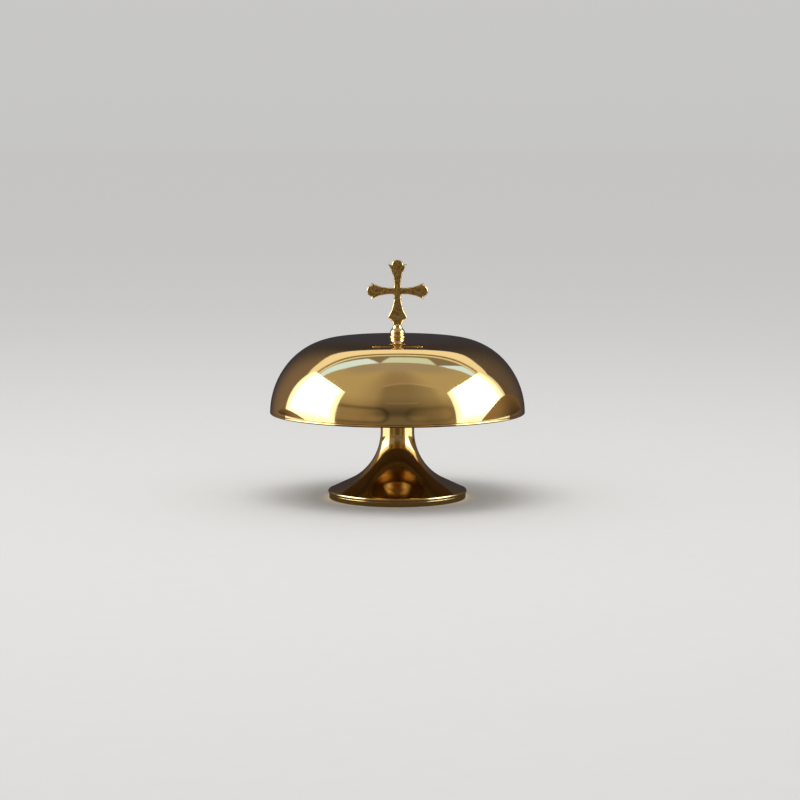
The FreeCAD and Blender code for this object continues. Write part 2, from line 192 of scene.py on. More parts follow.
def link(name, mesh):
    piece = bpy.data.objects.new(name, mesh)
    bpy.context.scene.collection.objects.link(piece)
    return piece


def woven(rows, columns):
    """Faces that join neighbouring rows of points, each row closed on itself."""
    faces = []
    for row in range(rows - 1):
        one, two = row * columns, (row + 1) * columns
        for column in range(columns):
            following = (column + 1) % columns
            faces.append([one + column, two + column, two + following, one + following])
    return faces


class Shell:
    """Collects faces with an outward normal for each of their corners, so that mirrors stay smooth."""

    def __init__(self):
        self.points, self.faces, self.normals, self.finishes = [], [], [], []

    def circle(self, radius_at, height, sides):
        """A ring of points round the axis, whose radius may change with the angle. Returns its indices."""
        first = len(self.points)
        for k in range(sides):
            angle = FULL_TURN * k / sides
            radius = radius_at(angle)
            self.points.append((radius * math.cos(angle), radius * math.sin(angle), height))
        return list(range(first, first + sides))

    def add(self, face, normals, finish=0):
        self.faces.append(face)
        self.normals.append(normals)
        self.finishes.append(finish)

    def band(self, one, two, lean_one, lean_two, finish=0):
        """Joins two rings. A lean is an (outward, upward) normal in the half section."""
        sides = len(one)
        for k in range(sides):
            following = (k + 1) % sides
            face = [one[k], one[following], two[following], two[k]]
            corners = zip((k, k + 1, k + 1, k), (lean_one, lean_one, lean_two, lean_two))
            normals = [swing(lean, FULL_TURN * turn / sides) for turn, lean in corners]
            kept = [i for i in range(len(face)) if face[i] not in face[:i]]
            self.add([face[i] for i in kept], [normals[i] for i in kept], finish)

    def cap(self, ring, upward):
        self.add(ring if upward else ring[::-1], [(0.0, 0.0, 1.0 if upward else -1.0)] * len(ring))

    def turn(self, corners):
        """A surface turned about the axis from a half section given as an outline."""
        rings = {}

        def ring(point):
            key = (round(point.x / MM, 4), round(point.y / MM, 4))
            if key not in rings and point.x < ON_AXIS:
                self.points.append((0.0, 0.0, point.y))
                rings[key] = [len(self.points) - 1] * AROUND
            elif key not in rings:
                rings[key] = self.circle(lambda _: point.x, point.y, AROUND)
            return rings[key]

        for run, finish in walk(corners):
            for (start, start_normal), (end, end_normal) in zip(run, run[1:]):
                one, two = ring(start), ring(end)
                if one is not two and max(start.x, end.x) > ON_AXIS:
                    self.band(one, two, start_normal, end_normal, finish)

    def build_flat(self, name):
        """The piece with every face shaded flat."""
        mesh = bpy.data.meshes.new(name)
        mesh.from_pydata(self.points, [], self.faces)
        return link(name, mesh)

    def build(self, name):
        """The piece shaded by the collected normals."""
        piece = self.build_flat(name)
        mesh = piece.data
        mesh.polygons.foreach_set("use_smooth", [True] * len(self.faces))
        mesh.polygons.foreach_set("material_index", self.finishes)
        mesh.normals_split_custom_set([normal for face in self.normals for normal in face])
        mesh.update()
        return piece


def swing(lean, angle):
    """A half section's (outward, upward) direction swung round the axis."""
    return (lean[0] * math.cos(angle), lean[0] * math.sin(angle), lean[1])


def turned(name, corners):
    shell = Shell()
    shell.turn(corners)
    return shell.build(name)


# ---------------------------------------------------------------- materials

def new_material(name):
    material = bpy.data.materials.new(name)
    material.use_nodes = True
    return material, material.node_tree, material.node_tree.nodes["Principled BSDF"]


def add(tree, kind, links=None, **settings):
    """Adds a node. links maps an input's name or number to an output socket or a plain value."""
    node = tree.nodes.new(kind)
    for key, value in settings.items():
        setattr(node, key, value)
    for key, value in (links or {}).items():
        if isinstance(value, bpy.types.NodeSocket):
            tree.links.new(value, node.inputs[key])
        else:
            node.inputs[key].default_value = value
    return node


def axis_distance(tree):
    """The place on the object, and a vector of its distance from the axis and its height."""
    place = add(tree, "ShaderNodeTexCoord").outputs["Object"]
    split = add(tree, "ShaderNodeSeparateXYZ", {0: place})
    flat = add(tree, "ShaderNodeCombineXYZ", {0: split.outputs[0], 1: split.outputs[1]})
    radius = add(tree, "ShaderNodeVectorMath", {0: flat.outputs[0]}, operation="LENGTH").outputs["Value"]
    rings = add(tree, "ShaderNodeCombineXYZ", {0: radius, 1: split.outputs[2]}).outputs[0]
    return place, rings


def remap(tree, value, low_out, high_out, low_in=0.0, high_in=1.0):
    links = {"Value": value, "From Min": low_in, "From Max": high_in, "To Min": low_out, "To Max": high_out}
    return add(tree, "ShaderNodeMapRange", links).outputs["Result"]


def noise(tree, place, scale, detail, roughness=0.5):
    links = {"Vector": place, "Scale": scale, "Detail": detail, "Roughness": roughness}
    return add(tree, "ShaderNodeTexNoise", links).outputs["Fac"]


def combine(tree, operation, *values):
    return add(tree, "ShaderNodeMath", dict(enumerate(values)), operation=operation).outputs[0]


def mix(tree, share, one, two):
    links = {"Factor": share, "A": one, "B": two}
    return add(tree, "ShaderNodeMix", links, data_type="RGBA").outputs["Result"]


def bump(tree, height, depth, **under):
    links = {"Height": height, "Strength": 1.0, "Distance": depth, **under}
    return add(tree, "ShaderNodeBump", links).outputs[0]


# Noise scales are per metre. A range gives the noise values where a mark starts and where it is full.
HAZE_SCALE = 28.0
HAZE_RANGE = (0.3, 0.72)
RING_RANGE = (0.3, 0.7)
RING_SHARE = (0.85, 1.18)       # the lathe rings multiply the roughness by this
FINE_SCALE = 900.0
FINE_SHARE = 0.15               # the fine grain's depth, as a share of the rings' depth
SCRATCH_TURN = (0.5, 0.4, 0.7)
SCRATCH_SCALE = (60.0, 900.0, 260.0)
SCRATCH_RANGE = (0.62, 0.74)
SCRATCH_ROUGHNESS = 0.036
EDGE_RANGE = (0.54, 0.62)       # how pointed an edge is where its plate has thinned
PATCH_RANGE = (0.35, 0.75)
PATCH_WEAR = 0.35


def metal(name, colour, worn, polish, ring_scale, ring_depth, wave_scale, wave_depth):
    """A polished or turned metal: rings left by the lathe, long waves of the spun sheet, hazy patches where
    it has been handled and wiped, fine scratches, and the worn tone where the plate has thinned. polish is
    its roughness where it is clearest and where it is haziest."""
    material, tree, shader = new_material(name)
    place, rings = axis_distance(tree)
    haze = noise(tree, place, HAZE_SCALE, detail=5.0, roughness=0.62)
    marks = noise(tree, rings, ring_scale, detail=3.0, roughness=0.6)
    stretch = {"Vector": place, "Rotation": SCRATCH_TURN, "Scale": SCRATCH_SCALE}
    scratch = noise(tree, add(tree, "ShaderNodeMapping", stretch).outputs[0], 1.0, detail=2.0)

    edge = remap(tree, add(tree, "ShaderNodeNewGeometry").outputs["Pointiness"], 0.0, 1.0, *EDGE_RANGE)
    wear = combine(tree, "MAXIMUM", edge, remap(tree, haze, 0.0, PATCH_WEAR, *PATCH_RANGE))
    tree.links.new(mix(tree, wear, (*colour, 1.0), (*worn, 1.0)), shader.inputs["Base Color"])

    hazed = remap(tree, haze, *polish, *HAZE_RANGE)
    ringed = combine(tree, "MULTIPLY", hazed, remap(tree, marks, *RING_SHARE, *RING_RANGE))
    scratched = remap(tree, scratch, 0.0, SCRATCH_ROUGHNESS, *SCRATCH_RANGE)
    tree.links.new(combine(tree, "ADD", ringed, scratched), shader.inputs["Roughness"])

    normal = bump(tree, noise(tree, place, wave_scale, detail=1.0), wave_depth)
    normal = bump(tree, marks, ring_depth, Normal=normal)
    normal = bump(tree, noise(tree, place, FINE_SCALE, detail=2.0), ring_depth * FINE_SHARE, Normal=normal)
    tree.links.new(normal, shader.inputs["Normal"])
    shader.inputs["Metallic"].default_value = 1.0
    return material


GOLD = (0.96, 0.70, 0.34)
PALE_GOLD = (0.93, 0.73, 0.42)
# Painted shade: a dark brown mixed into the bowl underside's colour towards the axis.
UNDERSIDE_SHADE = (0.17, 0.085, 0.032)
UNDERSIDE_SHADE_CORE = 31.0 * MM      # the painted shade is full this far from the axis
UNDERSIDE_SHADE_REACH = 50.0 * MM     # and fades out by here
UNDERSIDE_SHADE_ROUGHNESS = 0.24      # how much rougher the metal is where the painted shade is darkest
BRASS = (0.80, 0.58, 0.27)
DULL_BRASS = (0.66, 0.50, 0.28)
ZINC = (0.62, 0.62, 0.60)
DULL_ZINC = (0.48, 0.48, 0.46)


def painted_shade(material):
    """Paints shade into a metal's colour towards the axis, and makes it rougher there, where the polishing
    wheel can't reach.
    """
    tree = material.node_tree
    shader = tree.nodes["Principled BSDF"]
    radius = add(tree, "ShaderNodeSeparateXYZ", {0: axis_distance(tree)[1]}).outputs[0]
    share = remap(tree, radius, 1.0, 0.0, UNDERSIDE_SHADE_CORE, UNDERSIDE_SHADE_REACH)
    unshaded = shader.inputs["Base Color"].links[0].from_socket
    tree.links.new(mix(tree, share, unshaded, (*UNDERSIDE_SHADE, 1.0)), shader.inputs["Base Color"])
    polished = shader.inputs["Roughness"].links[0].from_socket
    added = combine(tree, "MULTIPLY", share, UNDERSIDE_SHADE_ROUGHNESS)
    tree.links.new(combine(tree, "ADD", polished, added), shader.inputs["Roughness"])
    return material


def make_materials():
    """Each metal's tone, worn tone and polish, then the scale and depth of its rings and of its waves."""
    # The bowl's outer metal, with painted shade mixed in towards the axis.
    underside = metal("gold_painted_shade", GOLD, PALE_GOLD, (0.06, 0.12), 600.0, 0.006 * MM, 30.0, 0.08 * MM)
    return {
        "mirror": metal("gold_mirror", GOLD, PALE_GOLD, (0.035, 0.075), 700.0, 0.0025 * MM, 24.0, 0.07 * MM),
        "spun": metal("gold_spun", GOLD, PALE_GOLD, (0.06, 0.12), 600.0, 0.006 * MM, 40.0, 0.06 * MM),
        "painted_shade": painted_shade(underside),
        "small": metal("gold_small", GOLD, PALE_GOLD, (0.05, 0.10), 1000.0, 0.0002 * MM, 60.0, 0.02 * MM),
        "cast": metal("gold_cast", GOLD, PALE_GOLD, (0.09, 0.17), 500.0, 0.002 * MM, 260.0, 1.2 * MM),
        "satin": metal("gold_satin", PALE_GOLD, GOLD, (0.20, 0.32), 1100.0, 0.012 * MM, 30.0, 0.05 * MM),
        "brass": metal("turned_brass", BRASS, DULL_BRASS, (0.24, 0.38), 1500.0, 0.014 * MM, 60.0, 0.02 * MM),
        "zinc": metal("zinc_plate", ZINC, DULL_ZINC, (0.26, 0.42), 900.0, 0.010 * MM, 60.0, 0.02 * MM),
    }


# ---------------------------------------------------------------- the stand

FOOT_WALL = 1.2 * MM
FLARE_TOP = 52.5 * MM
FLARE_RADIUS = 42.0 * MM
SKIRT_SLOPE = math.radians(25.3)
BEAD_RADIUS = 1.45 * MM
BEAD_INSET = 1.0 * MM
STEM_RADIUS = 13.2 * MM
GAP = 0.05 * MM
ROD_BORE = 3.1 * MM     # what the tie rod passes through, just clear of it


def flare_end(radius):
    """Where a flare of a radius about the flare's centre meets the skirt."""
    centre = STEM_RADIUS + FLARE_RADIUS
    return Vector((centre - radius * math.sin(SKIRT_SLOPE), FLARE_TOP - radius * math.cos(SKIRT_SLOPE)))


FLARE_END = flare_end(FLARE_RADIUS)


def skirt_height(radius):
    return FLARE_END.y - (radius - FLARE_END.x) * math.tan(SKIRT_SLOPE)


def make_foot():
    bead_centre = reach("foot") - BEAD_RADIUS
    skirt_end = bead_centre + BEAD_RADIUS * math.sin(SKIRT_SLOPE)
    bead_low = low("foot")
    inner = bead_centre - BEAD_INSET
    inner_curve = FLARE_RADIUS + FOOT_WALL
    return turned("foot_shell", [
        at(STEM_RADIUS - FOOT_WALL, high("foot"), finish=1),
        at(STEM_RADIUS - FOOT_WALL, FLARE_TOP, inner_curve, 1, finish=1),
        at(*flare_end(inner_curve), finish=1),
        at(inner, skirt_height(inner) - FOOT_WALL / math.cos(SKIRT_SLOPE), finish=1),
        at(inner, bead_low, rounded=0.2 * MM),
        at(bead_centre, bead_low, BEAD_RADIUS, 1),
        at(skirt_end, skirt_height(skirt_end)),
        at(FLARE_END.x, FLARE_END.y, FLARE_RADIUS, -1),
        at(STEM_RADIUS, FLARE_TOP),
        at(STEM_RADIUS, high("foot")),
    ])


def make_foot_ring():
    bead_centre = reach("foot") - BEAD_RADIUS
    tongue = bead_centre - BEAD_INSET - GAP
    inner = 49.0 * MM
    shelf = low("foot") - GAP
    under = (FOOT_WALL + GAP) / math.cos(SKIRT_SLOPE)
    return turned("foot_ring_turned", [
        at(inner, 0.0, rounded=0.3 * MM, finish=1),
        at(reach("foot_ring"), 0.0, rounded=0.5 * MM),
        at(reach("foot_ring"), shelf, rounded=0.3 * MM),
        at(tongue, shelf),
        at(tongue, skirt_height(tongue) - under),
        at(inner, skirt_height(inner) - under, finish=1),
    ])


def make_stem_collar():
    inner, lip, band = 9.05 * MM, 14.6 * MM, 1.4 * MM
    outer, bottom, top = sizes("stem_collar")
    seat = STEM_RADIUS + GAP
    return turned("stem_collar_turned", [
        at(inner, high("foot") + GAP),
        at(seat, high("foot") + GAP),
        at(seat, bottom, rounded=0.15 * MM),
        at(lip, bottom, outer - lip, -1, rounded=0.2 * MM),
        at(outer, top - band, rounded=0.3 * MM),
        at(outer, top, rounded=0.3 * MM),
        at(inner, top),
    ])


BOWL_WALL = 1.2 * MM
FLOOR_TILT = math.radians(6.2)
KNUCKLE = 4.0 * MM
KNUCKLE_HEIGHT = 70.5 * MM


def make_bowl():
    outer = reach("bowl")
    knuckle_centre = outer - KNUCKLE
    floor = knuckle_centre / math.sin(FLOOR_TILT) + KNUCKLE
    floor_centre = KNUCKLE_HEIGHT + (floor - KNUCKLE) * math.cos(FLOOR_TILT)
    inner_floor, inner_knuckle = floor - BOWL_WALL, KNUCKLE - BOWL_WALL

    def meeting(floor_curve, knuckle_curve):
        return (knuckle_centre + knuckle_curve * math.sin(FLOOR_TILT),
                floor_centre - floor_curve * math.cos(FLOOR_TILT))

    lip = BOWL_WALL * 0.45
    return turned("bowl_dish", [
        at(0.0, low("bowl"), floor, 1),
        at(*meeting(floor, KNUCKLE), KNUCKLE, 1),
        at(outer, KNUCKLE_HEIGHT),
        at(outer, high("bowl"), rounded=lip, finish=1),
        at(outer - BOWL_WALL, high("bowl"), rounded=lip, finish=1),
        at(outer - BOWL_WALL, KNUCKLE_HEIGHT, inner_knuckle, -1, finish=1),
        at(*meeting(inner_floor, inner_knuckle), inner_floor, -1, finish=1),
        at(0.0, low("bowl") + BOWL_WALL, finish=1),
    ])


def make_bowl_rim():
    outer, bottom, top = sizes("bowl_rim")
    hug = KNUCKLE + GAP
    centre = reach("bowl") - KNUCKLE
    nose = 0.75 * MM

    def against_bowl(height):
        return centre + math.sqrt(hug ** 2 - (KNUCKLE_HEIGHT - height) ** 2)

    return turned("bowl_rim_ring", [
        at(against_bowl(bottom), bottom),
        at(outer, bottom, rounded=nose),
        at(outer, top, rounded=nose),
        at(against_bowl(top), top, hug, -1),
    ])


def make_clamp_washer():
    seat, dish, thickness = 7.0 * MM, 1.2 * MM, 2.0 * MM
    outer, bottom, top = sizes("clamp_washer")
    return turned("clamp_washer_dished", [
        at(ROD_BORE, bottom, rounded=0.15 * MM),
        at(seat, bottom, rounded=1.5 * MM),
        at(outer, bottom + dish, rounded=0.4 * MM),
        at(outer, top, rounded=0.4 * MM),
        at(seat, top - dish, rounded=1.5 * MM),
        at(ROD_BORE, bottom + thickness, rounded=0.15 * MM),
    ])


def make_bowl_boss():
    outer, bottom, top = sizes("bowl_boss")
    depth = 10.4 * MM
    return turned("bowl_boss_socket", [
        at(ROD_BORE, bottom, rounded=0.4 * MM),
        at(outer, bottom, rounded=0.5 * MM),
        at(outer, top),
        at(0.0, top),
        at(0.0, bottom + depth),
        at(ROD_BORE, bottom + depth),
    ])


THREAD_SIDES = 48
THREAD_LEVELS = 8       # rings of points in one turn of a thread
THREAD_DEPTH = 0.55     # share of the pitch
GROOVE = 1.25           # above 1 leaves a flat at the groove's bottom
FLANK = 2.9             # above twice that leaves a flat crest


def threaded(name, radius, bottom, top, pitch):
    """A threaded rod with chamfered ends: one helical groove, drawn level by level."""
    levels = math.ceil((top - bottom) / pitch * THREAD_LEVELS)
    shell = Shell()
    rings = []

    def groove(angle, height):
        phase = (height / pitch - angle / FULL_TURN) % 1.0
        return pitch * THREAD_DEPTH * min(1.0, max(0.0, GROOVE - abs(phase - 0.5) * FLANK))

    for level in range(levels + 1):
        height = bottom + (top - bottom) * level / levels
        chamfer = radius - pitch * THREAD_DEPTH + min(height - bottom, top - height)
        rings.append(shell.circle(lambda a: min(radius - groove(a, height), chamfer), height, THREAD_SIDES))
    for one, two in zip(rings, rings[1:]):
        shell.band(one, two, (1.0, 0.0), (1.0, 0.0))
    shell.cap(rings[0], False)
    shell.cap(rings[-1], True)
    return shell.build_flat(name)


def make_tie_rod():
    return threaded("tie_rod_threaded", *sizes("tie_rod"), pitch=1.0 * MM)


COIL_STEPS = 120
COIL_SHARE = 0.8        # how much of the washer's height is its own thickness: the rest is the coil's rise


def make_lock_washer():
    """A split spring washer: a square section wound into most of one turn, rising from end to end."""
    outer = 5.6 * MM
    bottom, top = low("lock_washer"), high("lock_washer")
    thickness = (top - bottom) * COIL_SHARE
    arc = math.radians(350.0)
    section = ((ROD_BORE, 0.0), (outer, 0.0), (outer, thickness), (ROD_BORE, thickness))
    shell = Shell()
    for step in range(COIL_STEPS + 1):
        share = step / COIL_STEPS
        base = bottom + (top - bottom - thickness) * share
        shell.points.extend(swing((radius, base + height), arc * share) for radius, height in section)
    shell.faces.extend(woven(COIL_STEPS + 1, len(section)))
    last = COIL_STEPS * len(section)
    shell.faces.append([0, 1, 2, 3])
    shell.faces.append([last + 3, last + 2, last + 1, last])
    return shell.build_flat("lock_washer_coil")


NUT_SIDES = 96
HEXAGON_SIDES = 6
NUT_CONE = math.radians(30)
CONE_START = 0.98       # the chamfer's radius on the face, as a share of half the size across flats
CONE_STEPS = (0.0, 0.35, 0.7, 1.05, 1.4)


def add_hexagon(shell, flats, bottom, top, bore):
    """A hexagonal nut with a plain bore, its corners cut by a cone at either end."""
    corner = flats / 2 / math.cos(math.pi / HEXAGON_SIDES)
    drop = (corner - flats / 2) * math.tan(NUT_CONE)
    sector = FULL_TURN / HEXAGON_SIDES

    def flat_radius(angle):
        return flats / 2 / math.cos((angle + sector / 2) % sector - sector / 2)

    def cone_radius(height):
        return flats / 2 * CONE_START + min(height - bottom, top - height) / math.tan(NUT_CONE)

    heights = [bottom + drop * step for step in CONE_STEPS]
    heights += [top - drop * step for step in reversed(CONE_STEPS)]
    rings = [shell.circle(lambda a: min(flat_radius(a), cone_radius(z)), z, NUT_SIDES) for z in heights]
    bore_low = shell.circle(lambda a: bore, bottom, NUT_SIDES)
    bore_high = shell.circle(lambda a: bore, top, NUT_SIDES)
    for level, (one, two) in enumerate(zip(rings, rings[1:])):
        height = (heights[level] + heights[level + 1]) / 2
        upward = 1 if height > (bottom + top) / 2 else -1
        cone = (math.sin(NUT_CONE), upward * math.cos(NUT_CONE))
        for k in range(NUT_SIDES):
            middle = FULL_TURN * (k + 0.5) / NUT_SIDES
            facing = round(middle / sector) * sector
            if cone_radius(height) < flat_radius(middle):
                start, end = (swing(cone, FULL_TURN * turn / NUT_SIDES) for turn in (k, k + 1))
            else:
                start = end = swing((1.0, 0.0), facing)
            following = (k + 1) % NUT_SIDES
            shell.add([one[k], one[following], two[following], two[k]], [start, end, end, start])
    shell.band(bore_low, rings[0], (0.0, -1.0), (0.0, -1.0))
    shell.band(rings[-1], bore_high, (0.0, 1.0), (0.0, 1.0))
    shell.band(bore_high, bore_low, (-1.0, 0.0), (-1.0, 0.0))


def make_hex_nut():
    shell = Shell()
    across_flats = 10.0 * MM
    add_hexagon(shell, across_flats, low("hex_nut"), high("hex_nut"), ROD_BORE)
    return shell.build("hex_nut_plated")


# ---------------------------------------------------------------- the lid

LID_WALL = 1.2 * MM
LID_RADIUS = 100.0 * MM
SIDE_RADIUS = 61.15 * MM
SIDE_TILT = math.radians(49.57)
SHOULDER_RADIUS = 54.76 * MM
CROWN_TILT = math.radians(2.87)
CROWN_RADIUS = 928.0 * MM
STUD_HOLE = 2.1 * MM


def lid_side(inset, height):
    """How far from the axis the dome's side is at a height, at a depth inside its outer face."""
    curve = SIDE_RADIUS - inset
    return LID_RADIUS - SIDE_RADIUS + math.sqrt(curve ** 2 - (height - low("bowl_rim")) ** 2)


def make_lid():
    base = low("bowl_rim")
    side_centre = LID_RADIUS - SIDE_RADIUS
    shoulder_centre = Vector((
        side_centre + (SIDE_RADIUS - SHOULDER_RADIUS) * math.sin(SIDE_TILT),
        base + (SIDE_RADIUS - SHOULDER_RADIUS) * math.cos(SIDE_TILT),
    ))
    crown_centre = shoulder_centre.y + (SHOULDER_RADIUS - CROWN_RADIUS) * math.cos(CROWN_TILT)

    def corners(inset):
        side, shoulder, crown = SIDE_RADIUS - inset, SHOULDER_RADIUS - inset, CROWN_RADIUS - inset
        return (
            (side_centre + side * math.sin(SIDE_TILT), base + side * math.cos(SIDE_TILT)),
            (shoulder_centre.x + shoulder * math.sin(CROWN_TILT),
             shoulder_centre.y + shoulder * math.cos(CROWN_TILT)),
            (STUD_HOLE, crown_centre + math.sqrt(crown ** 2 - STUD_HOLE ** 2)),
        )

    outer_side, outer_shoulder, outer_hole = corners(0.0)
    inner_side, inner_shoulder, inner_hole = corners(LID_WALL)
    edge = low("lid")
    lip = LID_WALL * 0.3
    return turned("lid_dome", [
        at(lid_side(LID_WALL, edge), edge, rounded=lip),
        at(lid_side(0.0, edge), edge, SIDE_RADIUS, 1, rounded=lip),
        at(*outer_side, SHOULDER_RADIUS, 1),
        at(*outer_shoulder, CROWN_RADIUS, 1),
        at(*outer_hole),
        at(*inner_hole, CROWN_RADIUS - LID_WALL, -1, finish=1),
        at(*inner_shoulder, SHOULDER_RADIUS - LID_WALL, -1, finish=1),
        at(*inner_side, SIDE_RADIUS - LID_WALL, -1, finish=1),
    ])


def make_lid_bezel():
    bottom, top = low("lid_bezel"), high("lid_bezel")
    inner, inset = 97.4 * MM, LID_WALL + GAP
    return turned("lid_bezel_ring", [
        at(inner, bottom, rounded=0.35 * MM),
        at(lid_side(inset, bottom), bottom, SIDE_RADIUS - inset, 1),
        at(lid_side(inset, top), top),
        at(inner, top, rounded=0.35 * MM),
    ])


def washer(name, node, low_edge, high_edge):
    """A flat disc with a hole for the stud and rounded edges."""
    outer, bottom, top = sizes(node)
    return turned(name, [
        at(STUD_HOLE, bottom),
        at(outer, bottom, rounded=low_edge),
        at(outer, top, rounded=high_edge),
        at(STUD_HOLE, top),
    ])


def make_finial_collar():
    return washer("finial_collar_disc", "finial_collar", low_edge=0.38 * MM, high_edge=0.38 * MM)


def make_finial_knob():
    bottom, top = low("finial_knob"), high("finial_knob")
    belly, belly_curve, belly_height = reach("finial_knob"), 4.2 * MM, 2.1 * MM
    foot, neck, tenon = 5.5 * MM, 3.4 * MM, 1.25 * MM
    tenon_depth, stud_depth = 3.8 * MM, 3.4 * MM
    belly_centre = belly - belly_curve
    inward, rise = neck - belly_centre, top - bottom - belly_height
    neck_curve = (inward ** 2 + rise ** 2 - belly_curve ** 2) / (2 * (belly_curve - inward))
    share = belly_curve / (belly_curve + neck_curve)
    meeting = (belly_centre + (inward + neck_curve) * share, bottom + belly_height + rise * share)
    foot_height = bottom + belly_height - math.sqrt(belly_curve ** 2 - (foot - belly_centre) ** 2)
    return turned("finial_knob_turned", [
        at(STUD_HOLE, bottom),
        at(foot, bottom, rounded=0.1 * MM),
        at(foot, foot_height, belly_curve, 1),
        at(*meeting, neck_curve, -1),
        at(neck, top, rounded=0.25 * MM),
        at(tenon, top),
        at(tenon, top - tenon_depth),
        at(0.0, top - tenon_depth),
        at(0.0, bottom + stud_depth),
        at(STUD_HOLE, bottom + stud_depth),
    ])


ARM_CURVE = 31.0 * MM
ARM_HALF_WIDTH = 2.65 * MM
ARM_HALF_HEIGHT = 2.5 * MM
ARM_CORNER = 1.2 * MM
BARB_REACH = 21.0 * MM
BARB_TOP = 7.3 * MM
SIDE_REACH = 20.5 * MM
BARB_SIDE = 6.6 * MM
LOBE_HALF = 4.5 * MM
LOBE_RADIUS = 4.55 * MM
LOBE_DROP = 0.4 * MM
BARB_FOOT = 7.9 * MM
BARB_FOOT_HEIGHT = 5.8 * MM
CROSS_FOOT = 3.2 * MM
CROSS_FOOT_CURVE = 7.0 * MM
CROSS_CENTRE = 26.7 * MM
TENON_RADIUS = 1.2 * MM
CROSS_BEVEL = 0.9 * MM
BEVEL_STEPS = 5
SMOOTH_JOINT = 0.01     # two stretches that turn less than this, in radians, join without a corner
PEG_SIDES = 32


def cross_outline(foot_height):
    """The cross from its foot up the right side and down the left: flared arms with barbs and round lobes."""
    middle = foot_height + CROSS_CENTRE
    notch = middle + BARB_REACH - LOBE_DROP
    right = [
        (CROSS_FOOT, foot_height, CROSS_FOOT_CURVE, -1),
        (BARB_FOOT, foot_height + BARB_FOOT_HEIGHT, ARM_CURVE, -1),
        (ARM_HALF_WIDTH, middle - ARM_HALF_HEIGHT - ARM_CORNER, ARM_CORNER, -1),
        (ARM_HALF_WIDTH + ARM_CORNER, middle - ARM_HALF_HEIGHT, ARM_CURVE, -1),
        (SIDE_REACH, middle - BARB_SIDE, 0.0, 1),
        (SIDE_REACH - LOBE_DROP, middle - LOBE_HALF, LOBE_RADIUS, 1),
        (SIDE_REACH - LOBE_DROP, middle + LOBE_HALF, 0.0, 1),
        (SIDE_REACH, middle + BARB_SIDE, ARM_CURVE, -1),
        (ARM_HALF_WIDTH + ARM_CORNER, middle + ARM_HALF_HEIGHT, ARM_CORNER, -1),
        (ARM_HALF_WIDTH, middle + ARM_HALF_HEIGHT + ARM_CORNER, ARM_CURVE, -1),
        (BARB_TOP, middle + BARB_REACH, 0.0, 1),
        (LOBE_HALF, notch, LOBE_RADIUS, 1),
    ]
    left = []
    for index in range(len(right) - 1, -1, -1):
        curve = right[index - 1][2:] if index else (0.0, 1)
        left.append((-right[index][0], right[index][1], *curve))
    return [at(x, y, curve, turn) for x, y, curve, turn in right + left]


def crossing(one, two, three, four):
    """Where two short lines cross, or None."""
    first, second, gap = two - one, four - three, three - one
    turn = first.cross(second)
    if not turn:
        return None
    along, across = gap.cross(second) / turn, gap.cross(first) / turn
    return one + first * along if 0 <= along <= 1 and 0 <= across <= 1 else None


def join(before, after, mitre, outward):
    """Cuts two inset lines back to where they cross, or draws both out to the mitre of an inward corner."""
    if not outward:
        return before + [mitre], [mitre] + after
    for i in range(len(before) - 1, 0, -1):
        for j in range(len(after) - 1):
            point = crossing(before[i - 1], before[i], after[j], after[j + 1])
            if point:
                return before[:i] + [point], [point] + after[j + 1:]
    return before, after


def distances(line):
    """How far along a line each of its points lies."""
    reached = [0.0]
    for one, two in zip(line, line[1:]):
        reached.append(reached[-1] + (two - one).length)
    return reached


def spread(line, shares):
    """Points along a line at the given shares of its length."""
    reached = distances(line)
    found = []
    for share in shares:
        distance = share * reached[-1]
        k = 0
        while k < len(line) - 2 and reached[k + 1] < distance:
            k += 1
        part = (distance - reached[k]) / (reached[k + 1] - reached[k])
        found.append(line[k].lerp(line[k + 1], min(part, 1.0)))
    return found


def inset_runs(runs, inset):
    """The runs of an outline moved inward, each with as many points as before."""
    moved = [[point - normal * inset for point, normal in run] for run in runs]
    for index, run in enumerate(runs):
        corner, after = run[0]
        before = runs[index - 1][-1][1]
        turn = before.cross(after)
        if abs(turn) > SMOOTH_JOINT:
            mitre = corner - (before + after) / (1 + before.dot(after)) * inset
            moved[index - 1], moved[index] = join(moved[index - 1], moved[index], mitre, turn > 0)
    result = []
    for run, line in zip(runs, moved):
        reached = distances([point for point, _ in run])
        result.append(spread(line, [distance / reached[-1] for distance in reached]))
    return result


